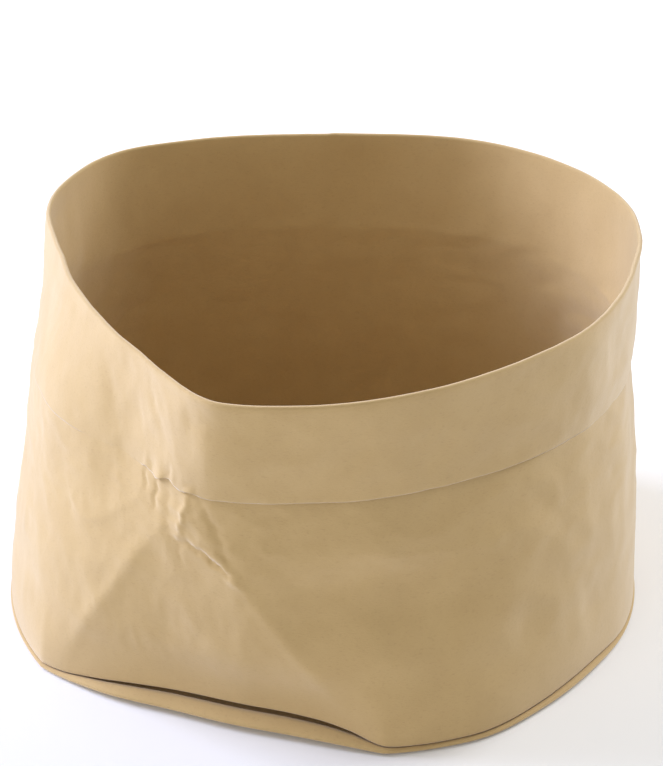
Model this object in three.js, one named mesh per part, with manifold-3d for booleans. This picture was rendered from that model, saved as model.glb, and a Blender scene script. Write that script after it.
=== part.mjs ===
// A heavy kraft-paper bag that stands open, with its top turned down once as a cuff.
// The bag is one folded and glued sheet, so it is one closed solid: a flat base, a lip round the base,
// a pleat where the wall buckles over that lip, the wall, the folded rim and the cuff outside it.
// Millimetres, +Z up. The origin is on the surface that the bag stands on, under its centre.
// The front panel faces -Y. The rim has a sharp corner at the front left and a gentler one at the back left.

import * as THREE from "three";
import { mergeVertices } from "three/addons/utils/BufferGeometryUtils.js";
import Module from "manifold-3d";

// Sheet and overall sizes
const PAPER = 0.6; // thickness of one ply
const BAG_HEIGHT = 115; // floor to the top of the folded rim
const BASE_RADIUS = 98; // the base outline's nominal radius
const WAIST_RADIUS = 92; // the wall's nominal radius behind the cuff's cut edge
const RIM_RADIUS = 92; // the folded rim's nominal radius
const BELLY = 1.6; // how far the wall bulges between base and cuff

// Cuff
const CUFF_HEIGHT = 34; // rim down to the cut edge
const FOLD_GAP = 0.5; // air between the wall and the cuff at the folded rim
const EDGE_GAP = 0.3; // least air between the wall and the cuff at the cut edge

// Lip and pleat round the base, where they are deepest
const LIP_HEIGHT = 2.8; // rise of the lip over its lower bend
const LIP_REACH = 4.2; // how far the lip stands out past the wall above it
const PLEAT_DEPTH = 5; // flat length of the fold that runs in under the wall
const PLEAT_OPENING = 1.3; // air between the lip and the wall over it
const LIP_SLOPE = 0.4; // rise of the lip's upper face from the lip to the pleat's root
const LEAST_LIP = 0.1; // share of those sizes where the lip is shallowest
const BEND = 0.6; // radius of a tight bend in the sheet, at its middle surface

// Triangular facet under the front-left corner: the round foot is pushed in between two ridges that
// meet just below the cuff, and the push fades towards that apex.
const FACET = { angle: -134.5, belowCuff: 3, halfAngle: 34, depth: 10.5, fade: 1.4, ridge: 1.2 };

// Hollow in the front panel, its middle a given distance below the cuff
const DENT = { angle: -98, belowCuff: 31, depth: 4.5, halfAngle: 27, halfHeight: 24 };

// Lap seam glued down the back panel, with its second ply on the inside
const SEAM_ANGLE = 70;
const SEAM_WIDTH = 14; // here the sheet is two plies thick
const SEAM_EDGE = 0.25; // degrees over which the upper ply's edge drops to the lower ply

// Two flaps folded over each other and glued under the base, each one ply below what it covers
const FOLD_INSET = 36; // the base's nominal radius to the fold
const SIDE_INSET = 34; // the base's nominal radius to the fold's ends
const FLAP_TIP = 92; // width at the free edge
const FLAP_LAP = 14; // how far each flap reaches past the middle
const FOOT_WIDTH = 7; // ring inside the lip that stands on the floor
const SOLE = PAPER / 2 + 2 * PAPER; // the base's middle surface, over its two flaps

// Mesh fineness
const AROUND = 76; // sections round the bag
const RIM_STEPS = 5;
const WALL_STEPS = 7; // from the pleat to the height of the cuff's cut edge
const CUFF_STEPS = 4; // from that height to the rim, on the wall and on the cuff

const DEGREE = Math.PI / 180;
const WAIST_Z = BAG_HEIGHT - CUFF_HEIGHT; // height of the cuff's cut edge
const SHARPEST = 0.75; // cosine of half the sharpest turn that is mitred in full
const WELD = 1e-4; // points of a flap nearer than this are one
const SLIVER = 0.02; // joining leaves edges shorter than this, which are merged away

// Outlines, as [direction in degrees, distance outside the nominal radius].
// The base is a round with worn corners, before the facet pushes its front left in.
const BASE_OUTLINE = [
  [-178, 6.5], [-165, 7], [-154, 7], [-142, 5], [-129, 4.2], [-118, 3], [-107, 3.1], [-92, 4], [-83, 4.4],
  [-70, 1.8], [-55, 0.3], [-40, 0.7], [-20, 0.5], [0, 2], [25, 6], [50, 2], [70, 1], [95, 5], [115, 9],
  [140, 7], [160, 6],
];
// The wall leans in as it rises, and keeps a soft corner at the front left.
const WAIST_OUTLINE = [
  [-175, -1.5], [-164, -4], [-155, -6], [-147, -4], [-137, 0.5], [-131, 1.5], [-115, -2.5], [-98, -5],
  [-80, -5.8], [-65, -4], [-30, 0], [-15, 3], [0, 6.5], [21, 11], [42, 9], [70, 5], [98, 10], [112, 13],
  [130, 10], [148, 3.5], [160, 0.5], [172, -0.5],
];
// The rim has a sharp corner at the front left and long bowed sides.
const RIM_OUTLINE = [
  [-175, -14], [-155, -10.5], [-144, -4.5], [-133, 4], [-128, 6], [-116, 3.5], [-97, -1.5], [-74, -5],
  [-51, -4], [-25, 0], [-10, 6], [7, 12], [21, 14], [42, 12.5], [70, 6], [98, 12.5], [112, 17], [125, 12.5],
  [135, 7], [148, -3.5], [160, -10],
];
// How much further the cuff's cut edge stands off the wall, on the right.
const EDGE_OUTLINE = [[-62, 0], [-45, 0.2], [-28, 1.5], [-12, 1.7], [5, 0.7], [25, 0], [150, 0]];
// How deep the lip and its pleat are, as [direction, share of the deepest]: deep under the facet, less
// along the front right, and hardly there on the other sides.
const LIP_OUTLINE = [
  [-178, 0.1], [-171, 0.12], [-165, 0.22], [-158, 0.45], [-151, 0.68], [-140, 0.95], [-128, 1], [-113, 0.95],
  [-106.5, 0.72], [-101, 0.24], [-95, 0.18], [-88, 0.22], [-80, 0.27], [-70, 0.33], [-52, 0.33],
  [-42, 0.2], [-35, 0.1], [90, 0.1],
];

const wrap = (degrees) => ((((degrees + 180) % 360) + 360) % 360) - 180;
const mix = (a, b, t) => a + (b - a) * t;
const smooth = (t) => {
  const c = Math.min(1, Math.max(0, t));
  return c * c * (3 - 2 * c);
};

// A smooth closed curve through an outline's points, read in one direction.
function outline(points, angle) {
  const count = points.length;
  let i = points.findLastIndex(([at]) => at <= wrap(angle));
  if (i < 0) i = count - 1;
  const [a0, v0] = points[i];
  const [a1, v1] = points[(i + 1) % count];
  const [before, vBefore] = points[(i + count - 1) % count];
  const [after, vAfter] = points[(i + 2) % count];
  const span = (a1 - a0 + 360) % 360;
  const slope0 = (v1 - vBefore) / (span + ((a0 - before + 360) % 360));
  const slope1 = (vAfter - v0) / (span + ((after - a1 + 360) % 360));
  const t = ((wrap(angle) - a0 + 360) % 360) / span;
  const rise = v0 + (v1 - v0) * smooth(t);
  return rise + span * t * (1 - t) * (slope0 * (1 - t) - slope1 * t);
}

const roundRadius = (angle) => BASE_RADIUS + outline(BASE_OUTLINE, angle);
const waistRadius = (angle) => WAIST_RADIUS + outline(WAIST_OUTLINE, angle);
const rimRadius = (angle) => RIM_RADIUS + outline(RIM_OUTLINE, angle);
const lipShare = (angle) => Math.max(LEAST_LIP, outline(LIP_OUTLINE, angle));
const edgeGap = (angle) => EDGE_GAP + Math.max(0, outline(EDGE_OUTLINE, angle));

// How far the facet lies inside the round wall: nothing on its two ridges, most between them.
function facetPress(angle, z) {
  const top = WAIST_Z - FACET.belowCuff;
  const down = (top - z) / top;
  if (down <= 0) return 0;
  const across = wrap(angle - FACET.angle) / (FACET.halfAngle * down);
  return FACET.depth * down ** FACET.fade * Math.max(0, 1 - across * across) ** FACET.ridge;
}

const baseRadius = (angle) => roundRadius(angle) - facetPress(angle, 0);

function dentPress(angle, z) {
  const across = wrap(angle - DENT.angle) / DENT.halfAngle;
  const along = (z - WAIST_Z + DENT.belowCuff) / DENT.halfHeight;
  return DENT.depth * smooth(1 - Math.hypot(across, along));
}

// Axis to the wall's middle surface, at a height and in a direction.
function wallRadius(angle, z) {
  if (z > WAIST_Z) return mix(waistRadius(angle), rimRadius(angle), (z - WAIST_Z) / CUFF_HEIGHT);
  const up = z / WAIST_Z;
  const foot = roundRadius(angle) - LIP_REACH * lipShare(angle);
  const plain = mix(foot, waistRadius(angle), up) + BELLY * Math.sin(Math.PI * up);
  return plain - facetPress(angle, z) - dentPress(angle, z);
}

// Points on an arc of the section, from one direction to another, both in degrees.
function arc([r, z], radius, from, to, steps) {
  return Array.from({ length: steps + 1 }, (_, i) => {
    const t = mix(from, to, i / steps) * DEGREE;
    return [r + radius * Math.cos(t), z + radius * Math.sin(t)];
  });
}

// The sheet's section in one direction, as points on its middle surface from the base to the cuff's
// cut edge: [distance from the axis, height]. The lap seam thickens the wall's rows only.
function section(angle) {
  const half = PAPER / 2;
  const share = lipShare(angle);
  const lip = baseRadius(angle);
  const mouth = lip - LIP_REACH * share;
  const lipTop = half + BEND + LIP_HEIGHT * share;
  const fold = mix(2 * BEND, PAPER + PLEAT_OPENING, share);
  const root = mouth - BEND - PLEAT_DEPTH * share - fold / 2;
  const rootZ = lipTop + LIP_SLOPE + fold / 2;
  const below = [
    [(lip - FOOT_WIDTH) / 2, SOLE],
    [lip - FOOT_WIDTH, SOLE],
    [lip - FOOT_WIDTH + 2 * PAPER, half],
    ...arc([lip - BEND, half + BEND], BEND, -90, 0, 2),
    [mouth, lipTop + LIP_SLOPE / 2],
    ...arc([root + fold / 2, rootZ], fold / 2, 270, 90, 2),
    ...arc([mouth - BEND, rootZ + fold / 2 + BEND], BEND, -90, 0, 1),
  ];

  const apart = PAPER + FOLD_GAP; // wall to cuff at the fold, between middle surfaces
  const edgeApart = PAPER + edgeGap(angle);
  const foldZ = BAG_HEIGHT - half - apart / 2;
  const wallZ = below.at(-1)[1];
  const wall = [];
  for (let i = 1; i < WALL_STEPS; i++) {
    const z = mix(wallZ, WAIST_Z, i / WALL_STEPS);
    wall.push([wallRadius(angle, z), z]);
  }
  // Behind the cuff the wall has its rows at the cuff's own heights.
  const cuff = [];
  for (let i = 0; i < CUFF_STEPS; i++) {
    const z = mix(WAIST_Z, foldZ, i / CUFF_STEPS);
    wall.push([wallRadius(angle, z), z]);
    cuff.unshift([wallRadius(angle, z) + mix(edgeApart, apart, i / CUFF_STEPS), z]);
  }
  const rim = arc([wallRadius(angle, foldZ) + apart / 2, foldZ], apart / 2, 180, 0, RIM_STEPS);
  const points = [...below, ...wall, ...rim, ...cuff];
  return { points, wallFrom: below.length, wallTo: below.length + wall.length };
}

// Directions of the stations round the bag, with one on each side of both seam edges.
function stationAngles() {
  const even = Array.from({ length: AROUND }, (_, i) => (360 * i) / AROUND - 180);
  const half = seamHalfAngle();
  const edges = [-half - SEAM_EDGE, -half, half, half + SEAM_EDGE].map((off) => SEAM_ANGLE + off);
  const clear = (a) => edges.every((b) => Math.abs(wrap(a - b)) > 90 / AROUND);
  return [...even.filter(clear), ...edges].sort((a, b) => a - b);
}

const seamHalfAngle = () => SEAM_WIDTH / 2 / RIM_RADIUS / DEGREE;

// The sheet's middle surface as a grid: one section for each station, with its seam thickening.
function sheetGrid() {
  return stationAngles().map((angle) => {
    const { points, wallFrom, wallTo } = section(angle);
    const lapped = Math.abs(wrap(angle - SEAM_ANGLE)) < seamHalfAngle() + SEAM_EDGE / 2;
    return points.map(([r, z], row) => ({
      at: new THREE.Vector3(r * Math.cos(angle * DEGREE), r * Math.sin(angle * DEGREE), z),
      lap: lapped && row >= wallFrom && row < wallTo ? PAPER : 0,
    }));
  });
}

// The sheet with its thickness: the middle surface pushed out to both sides, closed at the cut edge.
function sheetSolid(wasm) {
  const grid = sheetGrid();
  const stations = grid.length;
  const rows = grid[0].length;
  const centre = new THREE.Vector3(0, 0, SOLE);
  const at = (j, i) => (i < 0 ? centre : grid[(j + stations) % stations][i].at);

  const positions = [0, 0, SOLE - PAPER / 2, 0, 0, SOLE + PAPER / 2];
  const outward = (j, i) => {
    const before = at(j, i).clone().sub(at(j, i - 1)).normalize();
    const after = i < rows - 1 ? at(j, i + 1).clone().sub(at(j, i)).normalize() : before;
    const along = before.clone().add(after).normalize();
    const round = at(j + 1, i).clone().sub(at(j - 1, i)).normalize();
    const miter = 1 / Math.max(SHARPEST, along.dot(before));
    return round.cross(along).normalize().multiplyScalar(miter);
  };
  for (const side of [1, -1]) {
    for (let j = 0; j < stations; j++) {
      for (let i = 0; i < rows; i++) {
        const reach = side > 0 ? PAPER / 2 : -PAPER / 2 - grid[j][i].lap;
        positions.push(...at(j, i).clone().addScaledVector(outward(j, i), reach));
      }
    }
  }

  const outer = (j, i) => 2 + ((j + stations) % stations) * rows + i;
  const inner = (j, i) => outer(j, i) + stations * rows;
  const faces = [];
  const quad = (a, b, c, d) => faces.push(a, b, c, a, c, d);
  for (let j = 0; j < stations; j++) {
    faces.push(0, outer(j + 1, 0), outer(j, 0));
    faces.push(1, inner(j, 0), inner(j + 1, 0));
    for (let i = 0; i < rows - 1; i++) {
      quad(outer(j, i), outer(j + 1, i), outer(j + 1, i + 1), outer(j, i + 1));
      quad(inner(j, i), inner(j, i + 1), inner(j + 1, i + 1), inner(j + 1, i));
    }
    const edge = rows - 1;
    quad(outer(j, edge), outer(j + 1, edge), inner(j + 1, edge), inner(j, edge));
  }
  return closedSolid(wasm, new Float32Array(positions), new Uint32Array(faces));
}

// One glued flap of the base: a trapezium from its fold past the middle, reaching up into the base.
function flapSolid(wasm, side, underside) {
  const halfRoot = BASE_RADIUS - SIDE_INSET;
  const fold = side * (BASE_RADIUS - FOLD_INSET);
  const shape = new THREE.Shape([
    new THREE.Vector2(-halfRoot, fold),
    new THREE.Vector2(halfRoot, fold),
    new THREE.Vector2(FLAP_TIP / 2, -side * FLAP_LAP),
    new THREE.Vector2(-FLAP_TIP / 2, -side * FLAP_LAP),
  ]);
  const plate = new THREE.ExtrudeGeometry(shape, { depth: SOLE - underside, bevelEnabled: false });
  plate.translate(0, 0, underside);
  plate.deleteAttribute("normal");
  plate.deleteAttribute("uv");
  const merged = mergeVertices(plate, WELD);
  return closedSolid(wasm, merged.attributes.position.array, new Uint32Array(merged.index.array));
}

function closedSolid(wasm, vertProperties, triVerts) {
  return new wasm.Manifold(new wasm.Mesh({ numProp: 3, vertProperties, triVerts }));
}

// The solid as a geometry that stands on Z = 0 with its bounding box centred on the axis.
function centredGeometry(solid) {
  const mesh = solid.getMesh();
  const geometry = new THREE.BufferGeometry();
  geometry.setAttribute("position", new THREE.BufferAttribute(mesh.vertProperties, 3));
  geometry.setIndex(new THREE.BufferAttribute(mesh.triVerts, 1));
  geometry.computeBoundingBox();
  const { min, max } = geometry.boundingBox;
  geometry.translate(-(min.x + max.x) / 2, -(min.y + max.y) / 2, -min.z);
  geometry.computeVertexNormals();
  return geometry;
}

const wasm = await Module();
wasm.setup();

const innerFlap = flapSolid(wasm, 1, PAPER);
const outerFlap = flapSolid(wasm, -1, 0);
const bagSolid = sheetSolid(wasm).add(innerFlap).add(outerFlap).simplify(SLIVER);

const kraft = new THREE.MeshStandardMaterial({ color: 0xc8ab7c, roughness: 0.85, metalness: 0 });
const bag = new THREE.Mesh(centredGeometry(bagSolid), kraft);
bag.name = "paper_bag";

const group = new THREE.Group();
group.add(bag);

export default group;
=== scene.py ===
import math

import bmesh
import bpy
import numpy as np
from bpy.props import FloatProperty, FloatVectorProperty, IntProperty, PointerProperty
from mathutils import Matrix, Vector, noise


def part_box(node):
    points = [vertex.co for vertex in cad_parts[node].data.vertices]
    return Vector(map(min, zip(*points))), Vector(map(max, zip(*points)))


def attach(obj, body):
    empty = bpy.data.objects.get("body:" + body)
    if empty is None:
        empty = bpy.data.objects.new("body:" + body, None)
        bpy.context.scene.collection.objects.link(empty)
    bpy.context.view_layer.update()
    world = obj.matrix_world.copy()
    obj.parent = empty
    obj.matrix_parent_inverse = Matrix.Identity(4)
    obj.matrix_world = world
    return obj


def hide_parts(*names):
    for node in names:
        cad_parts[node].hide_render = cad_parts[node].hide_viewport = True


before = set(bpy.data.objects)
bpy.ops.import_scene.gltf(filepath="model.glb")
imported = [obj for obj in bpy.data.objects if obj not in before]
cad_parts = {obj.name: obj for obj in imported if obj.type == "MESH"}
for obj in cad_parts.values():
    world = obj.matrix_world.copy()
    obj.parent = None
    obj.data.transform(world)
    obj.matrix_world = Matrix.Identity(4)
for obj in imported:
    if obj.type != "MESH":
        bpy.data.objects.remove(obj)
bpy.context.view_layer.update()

bl_info = {
    "name": "Kraft bag with a turned-down cuff",
    "version": (1, 0, 0),
    "blender": (4, 5, 0),
    "location": "3D Viewport > Sidebar > Paper Bag",
    "description": "Builds a folded kraft-paper bag, its glued base flaps and a plain studio",
    "category": "Add Mesh",
}

MM = 0.001
BAG_NODE = "paper_bag"
BAG_HEIGHT = (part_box(BAG_NODE)[1].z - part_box(BAG_NODE)[0].z) / MM

# Radius at which directions are unrolled into millimetres
UNROLL = 94.0
# Where the bag's own axis lies in the frame, in millimetres: the outlines are measured round it
AXIS = (0.2, -1.1)
# Thickness of the very edge where the cuff is cut, as a share of one ply
KNIFE_EDGE = 0.07
# How much of the thinning at the cut edge the rings next to it take, counted from the edge
EDGE_FADE = {1: 0.9, 2: 0.7, 3: 0.45, 4: 0.2}

# Ring inside the lip that stands on the floor, in millimetres
FOOT_WIDTH = 7.0
# Radius of the wall's lower bend, over the pleat, in millimetres
BROW = 0.5
# Rings of the section in the wall, behind the cuff, and down the cuff
WALL_RINGS = 61
INNER_RINGS = 7
CUFF_RINGS = 19
# The base flaps from the bag's axis, in millimetres: half width and place of the fold, then of the free edge
FLAP_FOLD = (64, 62)
FLAP_TIP = (46, -14)

# Outlines, as (direction in degrees, millimetres outside the nominal radius)
BASE_OUTLINE = (
    (-178, 6.5), (-165, 7), (-154, 7), (-142, 5), (-129, 4.2), (-118, 3), (-107, 3.1), (-92, 4),
    (-83, 4.4), (-70, 1.8), (-55, 0.3), (-40, 0.7), (-20, 0.5), (0, 2), (25, 6), (50, 2), (70, 1),
    (95, 5), (115, 9), (140, 7), (160, 6),
)
WAIST_OUTLINE = (
    (-175, -1.5), (-164, -4), (-155, -6), (-147, -4), (-137, 0.5), (-131, 1.5), (-115, -2.5), (-98, -5),
    (-80, -5.8), (-65, -4), (-30, -0.5), (-15, 2), (0, 5.8), (21, 11), (42, 9), (70, 5), (98, 10),
    (112, 13), (130, 10), (148, 3.5), (160, 0.5), (172, -0.5),
)
RIM_OUTLINE = (
    (-175, -14), (-155, -10.5), (-144, -4.5), (-133, 4), (-128, 6), (-116, 3.5), (-97, -1.5), (-74, -5),
    (-51, -4), (-25, 0), (-10, 6), (7, 12), (21, 14), (42, 12.5), (70, 6), (98, 12.5), (112, 17),
    (125, 12.5), (135, 7), (148, -3.5), (160, -10),
)

# How deep the lip and its pleat are, as (direction, share of the deepest)
LIP_OUTLINE = (
    (-178, 0.1), (-171, 0.1), (-165, 0.2), (-159, 0.5), (-151, 0.8), (-140, 0.95), (-128, 1), (-113, 0.95),
    (-106.5, 0.72), (-101, 0.24), (-95, 0.15), (-88, 0.16), (-80, 0.18), (-70, 0.24), (-62, 0.3),
    (-52, 0.28), (-44, 0.15), (-37, 0.1), (90, 0.1),
)
# Air behind the cuff's cut edge, as (direction, millimetres): none on the left, most on the right
EDGE_OUTLINE = (
    (-175, 0.02), (-149, 0.02), (-143, 0.15), (-132, 0.5), (-100, 0.7), (-78, 0.6), (-64, 0.15), (-52, 0.02),
    (-38, 0.02), (-26, 0.4), (-12, 0.8), (5, 0.7), (25, 0.3), (150, 0.1),
)
# How thick the paper is at the cut edge, as (direction, share of one ply): least where it lies pressed
EDGE_PLY = (
    (-175, 0.1), (-150, 0.1), (-144, 0.45), (-100, 0.4), (-70, 0.3), (-56, 0.1), (-30, 0.1), (-10, 0.3),
    (60, 0.45), (150, 0.3),
)
# The cut edge's last millimetres, as (direction, millimetres): how far it is bent out, and how far it dips
EDGE_BENDS = (
    (-175, 0), (-149, 0), (-147.2, 0.6), (-145.6, 0.1), (-143.2, 1.3), (-141.4, 0.2), (-139.8, 0.5),
    (-138.4, 0.1), (-135.8, 1.0), (-133.6, 0.2), (-130, 0.3), (-120, 0.35), (-100, 0.4), (-75, 0.35),
    (-62, 0), (-30, 0), (30, 0.1), (120, 0),
)
EDGE_DIPS = (
    (-175, 0), (-149, 0.2), (-147.4, -0.5), (-144.8, 0.9), (-142.4, -0.4), (-140.6, -1.1), (-138.2, 0.8),
    (-135.4, -0.4), (-133, 0.4), (-128, 0), (-100, 0.3), (-70, -0.4), (-30, 0.4), (60, -0.4), (140, 0.4),
)

# Folds in the surface: direction and height of both ends, then how far the fold stands out of the wall
# and how far to each side it reaches, in millimetres. A fold that is pressed in is negative.
FOLDS = (
    (-136.0, 78.5, -138.2, 66.0, 1.0, 4.2),
    (-136.2, 78.5, -138.2, 66.5, 0.5, 1.5),
    (-141.0, 78.0, -141.0, 66.0, -0.6, 3.2),
    (-133.0, 77.5, -130.2, 69.0, -0.7, 2.6),
    (-130.2, 69.0, -128.8, 61.0, -0.5, 2.4),
    (-139.8, 63.4, -135.3, 63.0, -0.5, 1.7),
    (-135.6, 63.2, -131.7, 60.3, -0.9, 1.5),
    (-132.0, 60.6, -128.4, 57.0, -1.2, 1.4),
    (-136.0, 65.8, -131.2, 62.6, 0.5, 2.0),
    (-131.6, 62.9, -127.7, 58.6, 0.7, 1.7),
    (-128.6, 57.6, -124.6, 51.2, 0.6, 2.6),
    (-125.0, 52.0, -119.4, 38.0, 0.45, 4.5),
    (-119.6, 39.0, -112.0, 20.0, 0.3, 5.0),
    (-138.4, 61.8, -138.0, 56.5, -0.3, 1.4),
    (-144.2, 79.5, -144.5, 70.5, -0.7, 1.6),
    (-147.9, 80.5, -147.2, 74.5, -0.6, 1.5),
    (-140.5, 86.0, -140.3, 81.4, -0.6, 1.4),
    (-145.3, 84.5, -147.2, 81.5, -0.6, 1.4),
    (-134.4, 84.0, -137.4, 81.4, -0.55, 1.4),
    (-145.6, 63.0, -153.2, 42.0, 0.35, 4.0),
    (-153.0, 42.5, -164.6, 12.0, 0.35, 3.6),
    (-123.5, 66.0, -118.0, 64.0, 0.4, 3.0),
    (-119.5, 76.0, -121.6, 67.0, -0.4, 2.8),
    (-121.0, 62.0, -116.0, 53.0, -0.4, 6.0),
    (-146.5, 108, -142.5, 97, -0.4, 3.0),
    (-135.5, 112, -134.2, 99, -0.3, 3.5),
    (-131, 113, -132, 84, 0.25, 5.0),
    (-140, 104, -138, 90, 0.3, 4.5),
    (-151, 100, -147, 86, -0.3, 6.0),
    (-158, 96, -154, 84, 0.3, 6.0),
    (-123, 80, -125, 67, -0.4, 5.0),
    (-92, 79, -88, 68, -0.4, 7.0),
    (-104, 70, -96, 58, 0.35, 5.0),
    (-86, 64, -77, 52, -0.35, 5.0),
    (-121, 112, -117.6, 110.4, 0.25, 1.6),
    (-151, 43, -158, 25, 0.3, 4.0),
    (-163, 106, -155, 86, -0.5, 6.0),
    (-158, 84, -152, 62, 0.5, 6.0),
    (-172, 70, -163, 48, -0.45, 7.0),
    (-178, 48, -170, 24, 0.4, 7.0),
    (-108, 46, -98, 30, 0.35, 6.0),
    (-70, 74, -62, 58, -0.35, 6.0),
    (-78, 60, -74, 38, 0.3, 7.0),
    (-60, 40, -57, 14, 0.3, 7.0),
    (-45, 70, -41, 40, -0.3, 8.0),
    (20, 70, 26, 30, 0.5, 7.0),
    (60, 66, 52, 22, -0.4, 7.0),
    (104, 72, 110, 28, 0.5, 6.0),
    (131, 70, 138, 40, -0.5, 6.0),
    (160, 74, 168, 46, 0.35, 7.0),
)


def millimetres(name, description, default, **limits):
    """A length of the bag, for the panel."""
    return FloatProperty(name=name, description=f"{description}, in millimetres", default=default, **limits)


class BagSizes(bpy.types.PropertyGroup):
    paper: millimetres("Paper", "Thickness of one ply", 0.6, min=0.2, max=1.2)
    base_radius: millimetres("Base radius", "Nominal radius of the base", 98.0)
    waist_radius: millimetres(
        "Waist radius", "Nominal radius of the wall behind the cuff's cut edge", 92.0
    )
    rim_radius: millimetres("Rim radius", "Nominal radius of the folded rim", 92.0)
    belly: millimetres("Belly", "How far the wall bulges under the cuff", 1.6)
    cuff_height: millimetres("Cuff height", "Folded rim to the cut edge", 34.0)
    cuff_gap: millimetres("Cuff gap", "Air between wall and cuff at the fold", 0.5)
    lip_height: millimetres("Lip height", "Rise of the lip over its lower bend", 2.4)
    lip_lift: millimetres("Lip lift", "How far the lip stands clear of the floor", 1.8)
    lip_reach: millimetres("Lip reach", "How far the lip stands out past the wall", 4.2)
    pleat_depth: millimetres("Pleat depth", "Flat length of the fold under the wall", 6.0)
    pleat_opening: millimetres("Pleat opening", "Air in the pleat where it is widest", 3.8)
    facet_depth: millimetres("Facet depth", "How far the facet is pushed in at the foot", 10.5)
    dent_depth: millimetres("Dent depth", "Depth of the front panel's hollow", 4.5)
    crumple: millimetres("Crumple", "Height of the handling wrinkles all over", 0.85)
    stations: IntProperty(
        name="Stations", description="Sections round the bag", default=392, min=48, max=400
    )


class BagFinish(bpy.types.PropertyGroup):
    kraft: FloatVectorProperty(
        name="Kraft", description="Colour of the paper", subtype="COLOR", size=3,
        default=(0.515, 0.355, 0.153),
    )
    fibre: FloatVectorProperty(
        name="Fibre", description="Colour of the darker fibres", subtype="COLOR", size=3,
        default=(0.35, 0.22, 0.08),
    )
    roughness: FloatProperty(
        name="Roughness", description="Roughness of the uncoated paper", default=0.75, min=0, max=1
    )
    fuzz: FloatProperty(
        name="Fuzz", description="Pale sheen of the loose fibres at a low angle", default=0.5, min=0, max=1
    )


class StudioSettings(bpy.types.PropertyGroup):
    azimuth: FloatProperty(
        name="Azimuth", description="Direction of the camera round the bag", subtype="ANGLE",
        default=math.radians(-20),
    )
    elevation: FloatProperty(
        name="Elevation", description="Camera above the floor", subtype="ANGLE", default=math.radians(28)
    )
    distance: FloatProperty(
        name="Distance", description="Camera to the point it looks at", unit="LENGTH", default=0.9
    )
    aim: FloatVectorProperty(
        name="Aim", description="Point at the middle of the picture", subtype="XYZ", size=3,
        default=(0.0064, 0.0158, 0.062),
    )
    lens: FloatProperty(
        name="Lens", description="Focal length on a 36 mm sensor, in millimetres", default=131.1
    )
    key: FloatProperty(
        name="Key light", description="Power of the light at the left, in watts", default=44.0
    )
    fill: FloatProperty(
        name="Fill light", description="Power of the weak light in front, in watts", default=4.0
    )
    back: FloatProperty(
        name="Back light", description="Power of the light behind at the right, in watts", default=25.0
    )
    sky: FloatProperty(name="Sky", description="Strength of the even light from all round", default=0.47)


def turned(angle, about):
    """Degrees from one direction to another, between -180 and 180."""
    return (np.asarray(angle) - about + 180.0) % 360.0 - 180.0


def smooth(t):
    """An eased step from 0 to 1."""
    t = np.clip(t, 0.0, 1.0)
    return t * t * (3.0 - 2.0 * t)


def through(outline, angle):
    """A smooth closed curve through an outline's points, read in many directions at once."""
    at = np.array([p[0] for p in outline], float)
    value = np.array([p[1] for p in outline], float)
    span = turned(np.roll(at, -1), at) % 360.0
    slope = (np.roll(value, -1) - np.roll(value, 1)) / (span + np.roll(span, 1))
    i = np.searchsorted(at, turned(angle, 0.0), side="right") - 1
    j = (i + 1) % len(at)
    t = (turned(angle, 0.0) - at[i]) % 360.0 / span[i]
    rise = value[i] + (value[j] - value[i]) * smooth(t)
    return rise + span[i] * t * (1 - t) * (slope[i] * (1 - t) - slope[j] * t)


def lip_share(angle):
    """How deep the lip and its pleat are, as a share of the deepest."""
    return np.maximum(0.1, through(LIP_OUTLINE, angle))


def fold_height(angle, z, radius):
    """How far the folds push the wall out at one height, in many directions."""
    height = np.zeros_like(angle)
    round_way = np.radians(angle) * radius
    sway = 0.5 * np.sin(1.3 * z) + 0.25 * np.sin(3.1 * z)
    bob = 0.4 * np.sin(1.1 * round_way) + 0.2 * np.sin(2.7 * round_way)
    for a0, z0, a1, z1, depth, width in FOLDS:
        along = np.array([math.radians(a1 - a0) * radius, z1 - z0])
        u = np.radians(turned(angle, a0)) * radius + sway
        v = z - z0 + bob
        t = np.clip((u * along[0] + v * along[1]) / (along @ along), 0.0, 1.0)
        away = np.hypot(u - t * along[0], v - t * along[1])
        fade = 0.35 + 0.65 * np.sin(np.pi * np.clip(t, 0.08, 0.92))
        height += depth * fade * np.clip(1.0 - away / width, 0.0, 1.0) ** 1.3
    return height


def handling(angle, z, radius, size):
    """Soft dents and faint sharp folds all over, from noise that closes on itself round the bag."""
    a = np.radians(angle)
    points = zip(radius * np.cos(a) * 0.1, radius * np.sin(a) * 0.1, np.full_like(a, z * 0.1))
    height = []
    for x, y, w in points:
        soft = noise.noise(Vector((x * 0.35, y * 0.35, w * 0.3)))
        fold = abs(noise.noise(Vector((x * 0.55 + 7.0, y * 0.55, w * 0.8))))
        fine = abs(noise.noise(Vector((x * 1.6, y * 1.6 + 3.0, w * 1.9))))
        height.append(soft * 1.5 + (0.25 - fold) * 0.9 + (0.2 - fine) * 0.3)
    return size * np.array(height)


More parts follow.
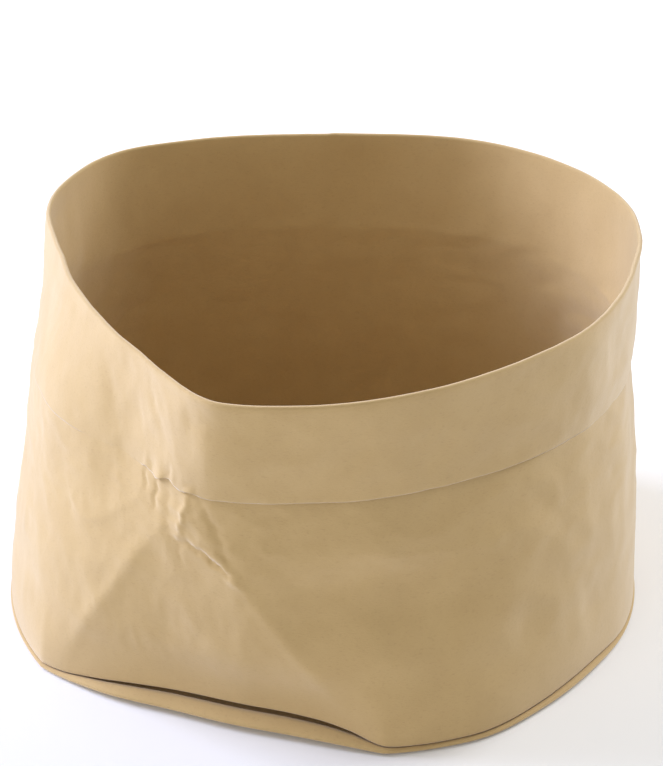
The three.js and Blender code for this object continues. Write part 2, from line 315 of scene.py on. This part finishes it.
class Wall:
    """The wall's middle surface: its distance from the axis in every direction, at a height."""

    def __init__(self, sizes, angle):
        self.sizes = sizes
        self.angle = angle
        self.share = lip_share(angle)
        self.waist_z = BAG_HEIGHT - sizes.cuff_height
        round_foot = sizes.base_radius + through(BASE_OUTLINE, angle)
        self.foot = round_foot - sizes.lip_reach * self.share
        self.lip = round_foot - self.facet(0.0)
        self.mouth = self.lip - sizes.lip_reach * self.share
        self.waist = sizes.waist_radius + through(WAIST_OUTLINE, angle)
        self.rim = sizes.rim_radius + through(RIM_OUTLINE, angle)

    def facet(self, z, below_cuff=3.0, half_angle=34.0, centre=-135.0, fade=1.3):
        """How far the triangular facet lies inside the round wall: nothing on its two ridges."""
        top = self.waist_z - below_cuff
        down = (top - z) / top
        if down <= 0:
            return 0.0
        across = turned(self.angle, centre - 3.0 * (1.0 - down)) / (half_angle * down)
        return self.sizes.facet_depth * down ** fade * np.clip(1.0 - across * across, 0.0, 1.0) ** 1.1

    def dent(self, z, centre=-99.0, height=48.0, half_angle=29.0, half_height=21.0):
        """How deep the front panel's hollow is."""
        across = turned(self.angle, centre) / half_angle
        along = (z - height) / half_height
        return self.sizes.dent_depth * smooth(1.0 - np.hypot(across, along))

    def seam(self, z, edge=70.0, width=9.0):
        """The lapped edge down the back: one ply rises slowly and ends in a sharp step."""
        across = turned(self.angle, edge - width) / width
        return self.sizes.paper * np.where((across > 0) & (across < 1), across, 0.0)

    def radius(self, z):
        """The middle surface's distance from the axis at one height, with every fold and wrinkle."""
        s = self.sizes
        if z > self.waist_z:
            r = self.waist + (self.rim - self.waist) * (z - self.waist_z) / s.cuff_height
        else:
            up = z / self.waist_z
            r = self.foot + (self.waist - self.foot) * up + s.belly * math.sin(math.pi * up)
            r = r - self.facet(z) - self.dent(z)
        r = r + self.seam(z)
        calm = float(smooth(z / 14.0)) * float(smooth((BAG_HEIGHT - z) / 8.0 + 0.35))
        r = r + calm * handling(self.angle, z, r, s.crumple)
        return r + fold_height(self.angle, z, UNROLL)


def arc(radius, start, end, steps):
    """Points on an arc of the section, as offsets from its centre."""
    for i in range(steps + 1):
        t = math.radians(start + (end - start) * i / steps)
        yield radius * math.cos(t), radius * math.sin(t)


def sheet_rings(sizes, wall):
    """The sheet's rings from the middle of the base to the cuff's cut edge: radius and height of each."""
    paper = sizes.paper
    half = paper / 2
    bend = paper
    share = wall.share
    lip, mouth = wall.lip, wall.mouth
    sole = half + 2 * paper
    flat = np.ones_like(lip)
    for part in (0.3, 0.6, 0.85, 1.0):
        yield (lip - FOOT_WIDTH) * part, flat * sole
    yield lip - FOOT_WIDTH + 0.4 * paper, flat * (sole - 0.3 * paper)
    yield lip - FOOT_WIDTH + 1.6 * paper, flat * (half + 0.3 * paper)
    yield lip - FOOT_WIDTH + 2 * paper, flat * half
    lift = sizes.lip_lift * share
    yield lip - FOOT_WIDTH + 4, half + lift * 0.4
    for x, z in arc(bend, -90, 0, 4):
        yield lip - bend + x, half + bend + z + lift

    # The lip's upper face falls inwards where the lip is deep
    slope = 0.3 - 2.5 * share
    lip_top = half + bend + sizes.lip_height * share + lift
    closed = 1.2 * paper
    fold = closed + (paper + sizes.pleat_opening - closed) * share ** 1.5
    root = mouth - BROW - sizes.pleat_depth * share - fold / 2
    root_z = lip_top + slope + fold / 2
    bow = 0.7 * share
    for t in (0.2, 0.4, 0.6, 0.8, 1.0):
        rise = half + bend + lift + (lip_top - half - bend - lift) * t
        yield lip + (mouth - lip) * t + bow * math.sin(math.pi * t), rise
    for t, fall in ((0.12, 0.4), (0.24, 0.85), (0.5, 1.0), (0.75, 1.0)):
        yield mouth + (root + fold / 2 - mouth) * t, lip_top + slope * fall
    for x, z in arc(1.0, 270, 90, 4):
        yield root + fold / 2 + x * fold / 2, root_z + z * fold / 2
    for t in (0.4, 0.75):
        yield root + fold / 2 + (mouth - BROW - root - fold / 2) * t, root_z + fold / 2
    for x, z in arc(BROW, -90, 0, 3):
        yield mouth - BROW + x, root_z + fold / 2 + BROW + z

    # Rings lie closer together over dense_z, and under settled_z they ease down onto the pleat
    pleat_top = root_z + fold / 2 + BROW
    low_z, settled_z, dense_z = 8.0, 38.0, 52.0
    for i in range(1, WALL_RINGS + 1):
        t = i / WALL_RINGS
        z = float(np.interp(t, (0, 0.38, 1), (low_z, dense_z, wall.waist_z + 3)))
        blend = float(smooth(t * 6))
        settle = 1.0 - float(smooth((z - low_z) / (settled_z - low_z)))
        yield mouth * (1 - blend) + wall.radius(z) * blend, z + (pleat_top - low_z) * settle
    fold_gap = paper + sizes.cuff_gap
    fold_z = BAG_HEIGHT - half - fold_gap / 2
    for z in np.linspace(wall.waist_z + 6.5, fold_z, INNER_RINGS):
        yield wall.radius(z), flat * z
    top = wall.radius(fold_z)
    for x, z in list(arc(fold_gap / 2, 180, 0, 6))[1:]:
        yield top + fold_gap / 2 + x, flat * (fold_z + z)
    air, bent, dip = (through(edge, wall.angle) for edge in (EDGE_OUTLINE, EDGE_BENDS, EDGE_DIPS))
    pressed = paper * (1 + through(EDGE_PLY, wall.angle)) / 2
    for down in (*np.linspace(0.05, 0.985, CUFF_RINGS), 1.0):
        z = fold_z + (wall.waist_z - fold_z) * down
        gap = fold_gap + (paper + air - fold_gap) * down
        gap = gap + bent * down ** 12 - (paper - pressed) * down ** 4
        yield wall.radius(z) + gap, z - dip * down ** 6


def station_angles(count, centre=-133.0, crowd=0.55):
    """Directions of the sections, closest together at the creased front."""
    even = np.arange(count) * 360.0 / count
    return even - math.degrees(1.0) * crowd * np.sin(np.radians(even - centre))


def vertices(made):
    """The vertices among what a bmesh operator made."""
    return [item for item in made if isinstance(item, bmesh.types.BMVert)]


def build_sheet(sizes):
    """The folded sheet's middle surface, drawn out ring by ring from the middle of the base."""
    angle = station_angles(sizes.stations)
    wall = Wall(sizes, turned(angle, 0.0))
    cos, sin = np.cos(np.radians(angle)), np.sin(np.radians(angle))
    bm = bmesh.new()
    place = bm.verts.layers.int.new("station")
    ply = bm.verts.layers.deform.verify()
    rings = list(sheet_rings(sizes, wall))
    edge_ply = through(EDGE_PLY, wall.angle)
    bmesh.ops.create_circle(bm, cap_ends=True, cap_tris=False, segments=sizes.stations, radius=1.0)
    ring = sorted(bm.verts, key=lambda v: round(math.atan2(v.co.y, v.co.x), 6) % math.tau)
    for i, vert in enumerate(ring):
        vert[place] = i
    for number, (radius, height) in enumerate(rings):
        if number:
            edges = [e for e in bm.edges if e.is_boundary]
            made = bmesh.ops.extrude_edge_only(bm, edges=edges)["geom"]
            ring = sorted(vertices(made), key=lambda v: v[place])
        x = (AXIS[0] + radius * cos) * MM
        y = (AXIS[1] + radius * sin) * MM
        z = height * MM
        from_edge = len(rings) - 1 - number
        thin = EDGE_FADE.get(from_edge, 0.0)
        for i, vert in enumerate(ring):
            vert.co = (x[i], y[i], z[i])
            vert[ply][0] = 1.0 - (1.0 - edge_ply[i]) * thin if from_edge else KNIFE_EDGE
    bmesh.ops.recalc_face_normals(bm, faces=bm.faces)
    return bm


def linked_object(name, data):
    """A new object in the scene's own collection."""
    made = bpy.data.objects.new(name, data)
    bpy.context.scene.collection.objects.link(made)
    return made


def finished_piece(name, bm, material):
    """A smooth piece of the bag, made from a mesh that is then let go."""
    mesh = bpy.data.meshes.new(name)
    bm.to_mesh(mesh)
    bm.free()
    mesh.materials.append(material)
    for face in mesh.polygons:
        face.use_smooth = True
    piece = linked_object(name, mesh)
    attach(piece, "root")
    return piece


def add_node(tree, kind, inputs=(), **settings):
    """A new node with its settings and with the values of its inputs."""
    node = tree.nodes.new(kind)
    for key, value in settings.items():
        setattr(node, key, value)
    set_inputs(node, inputs)
    return node


def set_inputs(node, inputs):
    for key, value in dict(inputs).items():
        node.inputs[key].default_value = value


def fibre_group():
    """Kraft paper's cloudiness, fibres and flecks: a colour and a height."""
    name = "kraft_fibre"
    if name in bpy.data.node_groups:
        return bpy.data.node_groups[name]
    group = bpy.data.node_groups.new(name, "ShaderNodeTree")
    face = group.interface
    face.new_socket("Vector", in_out="INPUT", socket_type="NodeSocketVector")
    face.new_socket("Paper", in_out="INPUT", socket_type="NodeSocketColor")
    face.new_socket("Fibre", in_out="INPUT", socket_type="NodeSocketColor")
    face.new_socket("Cloud", in_out="INPUT", socket_type="NodeSocketFloat")
    face.new_socket("Color", in_out="OUTPUT", socket_type="NodeSocketColor")
    face.new_socket("Height", in_out="OUTPUT", socket_type="NodeSocketFloat")
    inlet = add_node(group, "NodeGroupInput")
    outlet = add_node(group, "NodeGroupOutput")

    cloud = add_node(group, "ShaderNodeTexNoise", {"Scale": 70.0, "Detail": 5.0, "Roughness": 0.6})
    group.links.new(inlet.outputs["Vector"], cloud.inputs["Vector"])

    stretch = add_node(group, "ShaderNodeMapping", {"Scale": (900.0, 900.0, 2600.0)})
    group.links.new(inlet.outputs["Vector"], stretch.inputs["Vector"])
    fibres = add_node(group, "ShaderNodeTexNoise", {"Scale": 1.0, "Detail": 3.0})
    group.links.new(stretch.outputs["Vector"], fibres.inputs["Vector"])

    cloudy = add_node(group, "ShaderNodeMapRange", {"From Min": 0.38, "From Max": 0.68})
    group.links.new(cloud.outputs["Fac"], cloudy.inputs["Value"])
    amount = add_node(group, "ShaderNodeMath", operation="MULTIPLY")
    group.links.new(cloudy.outputs["Result"], amount.inputs[0])
    group.links.new(inlet.outputs["Cloud"], amount.inputs[1])
    fleck = add_node(group, "ShaderNodeMapRange", {"From Min": 0.56, "From Max": 0.8, "To Max": 0.35})
    group.links.new(fibres.outputs["Fac"], fleck.inputs["Value"])
    total = add_node(group, "ShaderNodeMath", operation="ADD", use_clamp=True)
    group.links.new(amount.outputs[0], total.inputs[0])
    group.links.new(fleck.outputs["Result"], total.inputs[1])
    blend = add_node(group, "ShaderNodeMix", data_type="RGBA")
    group.links.new(total.outputs[0], blend.inputs["Factor"])
    group.links.new(inlet.outputs["Paper"], blend.inputs["A"])
    group.links.new(inlet.outputs["Fibre"], blend.inputs["B"])
    group.links.new(blend.outputs["Result"], outlet.inputs["Color"])

    height = add_node(group, "ShaderNodeMath", {1: 0.45}, operation="MULTIPLY_ADD")
    group.links.new(fibres.outputs["Fac"], height.inputs[0])
    group.links.new(cloud.outputs["Fac"], height.inputs[2])
    group.links.new(height.outputs[0], outlet.inputs["Height"])
    return group


def kraft_paper(finish):
    """Uncoated kraft paper, matt, with a pale fuzz at a low angle."""
    name = "kraft_paper"
    if name in bpy.data.materials:
        return bpy.data.materials[name]
    material = bpy.data.materials.new(name)
    material.use_nodes = True
    tree = material.node_tree
    shader = tree.nodes["Principled BSDF"]
    set_inputs(shader, {
        "Roughness": finish.roughness, "Specular IOR Level": 0.3, "Sheen Weight": finish.fuzz,
        "Sheen Roughness": 0.5, "Sheen Tint": (1.0, 1.0, 1.0, 1),
    })
    where = add_node(tree, "ShaderNodeTexCoord")
    fibres = add_node(
        tree, "ShaderNodeGroup",
        {"Paper": (*finish.kraft, 1), "Fibre": (*finish.fibre, 1), "Cloud": 0.16}, node_tree=fibre_group(),
    )
    bump = add_node(tree, "ShaderNodeBump", {"Strength": 0.22, "Distance": 0.0006})
    tree.links.new(where.outputs["Object"], fibres.inputs["Vector"])
    tree.links.new(fibres.outputs["Color"], shader.inputs["Base Color"])
    tree.links.new(fibres.outputs["Height"], bump.inputs["Height"])
    tree.links.new(bump.outputs["Normal"], shader.inputs["Normal"])
    return material


class BAG_OT_sheet(bpy.types.Operator):
    """Folds the bag's one sheet: base, lip, pleat, wall, rim and cuff"""

    bl_idname = "paper_bag.sheet"
    bl_label = "Folded Sheet"

    def execute(self, context):
        sizes = context.scene.bag_sizes
        piece = finished_piece("bag_sheet", build_sheet(sizes), kraft_paper(context.scene.bag_finish))
        ply = piece.modifiers.new("ply", "SOLIDIFY")
        ply.thickness = sizes.paper * MM
        ply.offset = 0.0
        ply.use_even_offset = True
        ply.vertex_group = piece.vertex_groups.new(name="ply").name
        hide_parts(BAG_NODE)
        return {"FINISHED"}


class BAG_OT_flaps(bpy.types.Operator):
    """Lays the two glued flaps under the base"""

    bl_idname = "paper_bag.flaps"
    bl_label = "Base Flaps"

    def execute(self, context):
        sizes = context.scene.bag_sizes
        material = kraft_paper(context.scene.bag_finish)
        for name, side, low in (("base_flap_inner", 1, sizes.paper), ("base_flap_outer", -1, 0.0)):
            bm = bmesh.new()
            (fold_x, fold_y), (tip_x, tip_y) = FLAP_FOLD, FLAP_TIP
            corners = [(-fold_x, fold_y), (fold_x, fold_y), (tip_x, tip_y), (-tip_x, tip_y)]
            verts = [
                bm.verts.new(((x + AXIS[0]) * MM, (y * side + AXIS[1]) * MM, low * MM)) for x, y in corners
            ]
            face = bm.faces.new(verts)
            made = bmesh.ops.extrude_face_region(bm, geom=[face])["geom"]
            bmesh.ops.translate(bm, verts=vertices(made), vec=(0, 0, sizes.paper * MM))
            bmesh.ops.recalc_face_normals(bm, faces=bm.faces)
            piece = finished_piece(name, bm, material)
            for polygon in piece.data.polygons:
                polygon.use_smooth = False
        return {"FINISHED"}


class BAG_OT_studio(bpy.types.Operator):
    """Sets up the pale floor, the soft lights and the camera"""

    bl_idname = "paper_bag.studio"
    bl_label = "Studio"

    def execute(self, context):
        studio = context.scene.bag_studio
        add_floor()
        add_world(studio.sky)
        turn = studio.azimuth
        add_light("key_light", (-1.55, 0.5, 0.87), 1.0, studio.key, (0.94, 1.0, 1.28), turn)
        add_light("fill_light", (-0.8, -1.2, 0.6), 1.0, studio.fill, (1.0, 0.97, 0.92), turn)
        add_light("back_light", (1.25, 0.8, 1.0), 1.0, studio.back, (1.0, 1.0, 1.0), turn)
        add_camera(studio)
        context.scene.view_settings.view_transform = "Standard"
        return {"FINISHED"}


def add_floor():
    """A plain pale floor, just under the bag."""
    bm = bmesh.new()
    bmesh.ops.create_grid(bm, x_segments=1, y_segments=1, size=4.0)
    bmesh.ops.translate(bm, verts=bm.verts, vec=(0, 0, -0.1 * MM))
    mesh = bpy.data.meshes.new("floor")
    bm.to_mesh(mesh)
    bm.free()
    floor = linked_object("floor", mesh)
    material = bpy.data.materials.new("studio_floor")
    material.use_nodes = True
    shader = material.node_tree.nodes["Principled BSDF"]
    set_inputs(shader, {"Base Color": (0.86, 0.86, 0.87, 1), "Roughness": 0.9})
    lighten_floor(material.node_tree, shader)
    mesh.materials.append(material)


def lighten_floor(tree, shader, share=0.05):
    """Mixes plain white into the floor as the camera sees it, and leaves the light it sends back."""
    paths = add_node(tree, "ShaderNodeLightPath")
    seen = paths.outputs["Is Camera Ray"]
    for ray in ("Is Glossy Ray", "Is Transmission Ray"):
        either = add_node(tree, "ShaderNodeMath", operation="ADD", use_clamp=True)
        tree.links.new(seen, either.inputs[0])
        tree.links.new(paths.outputs[ray], either.inputs[1])
        seen = either.outputs[0]
    part = add_node(tree, "ShaderNodeMath", {1: share}, operation="MULTIPLY")
    tree.links.new(seen, part.inputs[0])
    white = add_node(tree, "ShaderNodeEmission")
    mixed = add_node(tree, "ShaderNodeMixShader")
    tree.links.new(part.outputs[0], mixed.inputs["Fac"])
    tree.links.new(shader.outputs["BSDF"], mixed.inputs[1])
    tree.links.new(white.outputs["Emission"], mixed.inputs[2])
    tree.links.new(mixed.outputs["Shader"], tree.nodes["Material Output"].inputs["Surface"])


def add_world(strength):
    """Even white light from all round."""
    world = bpy.data.worlds.new("studio_sky")
    bpy.context.scene.world = world
    world.use_nodes = True
    set_inputs(world.node_tree.nodes["Background"], {"Color": (1, 1, 1, 1), "Strength": strength})


def add_light(name, place, size, power, color, turn):
    """A square soft light that looks at the bag; its place turns with the camera."""
    lamp = bpy.data.lights.new(name, "AREA")
    lamp.size = size
    lamp.energy = power
    lamp.color = color
    light = linked_object(name, lamp)
    x, y, z = place
    cos, sin = math.cos(turn), math.sin(turn)
    spot = Vector((x * cos - y * sin, x * sin + y * cos, z))
    light.location = spot
    light.rotation_euler = (Vector((0, 0, 0.05)) - spot).to_track_quat("-Z", "Y").to_euler()


def add_camera(studio):
    """The scene's camera, round the point that it looks at."""
    lens = bpy.data.cameras.new("camera")
    lens.lens = studio.lens
    lens.sensor_width = 36.0
    lens.clip_start = 0.05
    camera = linked_object("camera", lens)
    flat = math.cos(studio.elevation)
    turn = studio.azimuth
    back = Vector((math.sin(turn) * flat, -math.cos(turn) * flat, math.sin(studio.elevation)))
    camera.location = Vector(studio.aim) + back * studio.distance
    camera.rotation_euler = (-back).to_track_quat("-Z", "Y").to_euler()
    bpy.context.scene.camera = camera


class BAG_PT_panel(bpy.types.Panel):
    """Builds the bag's pieces and the studio"""

    bl_idname = "BAG_PT_panel"
    bl_label = "Paper Bag"
    bl_space_type = "VIEW_3D"
    bl_region_type = "UI"
    bl_category = "Paper Bag"

    def draw(self, context):
        layout = self.layout
        scene = context.scene
        groups = {"Sizes": scene.bag_sizes, "Finish": scene.bag_finish, "Studio": scene.bag_studio}
        for title, group in groups.items():
            box = layout.box()
            box.label(text=title)
            for key in group.bl_rna.properties.keys():
                if key not in ("rna_type", "name"):
                    box.prop(group, key)
        for operator in (BAG_OT_sheet, BAG_OT_flaps, BAG_OT_studio):
            layout.operator(operator.bl_idname)


CLASSES = (
    BagSizes,
    BagFinish,
    StudioSettings,
    BAG_OT_sheet,
    BAG_OT_flaps,
    BAG_OT_studio,
    BAG_PT_panel,
)


def register():
    for cls in CLASSES:
        bpy.utils.register_class(cls)
    bpy.types.Scene.bag_sizes = PointerProperty(type=BagSizes)
    bpy.types.Scene.bag_finish = PointerProperty(type=BagFinish)
    bpy.types.Scene.bag_studio = PointerProperty(type=StudioSettings)


def unregister():
    del bpy.types.Scene.bag_studio
    del bpy.types.Scene.bag_finish
    del bpy.types.Scene.bag_sizes
    for cls in reversed(CLASSES):
        bpy.utils.unregister_class(cls)


def main():
    register()
    bpy.ops.paper_bag.studio()
    bpy.ops.paper_bag.sheet()
    bpy.ops.paper_bag.flaps()


if __name__ == "__main__":
    main()
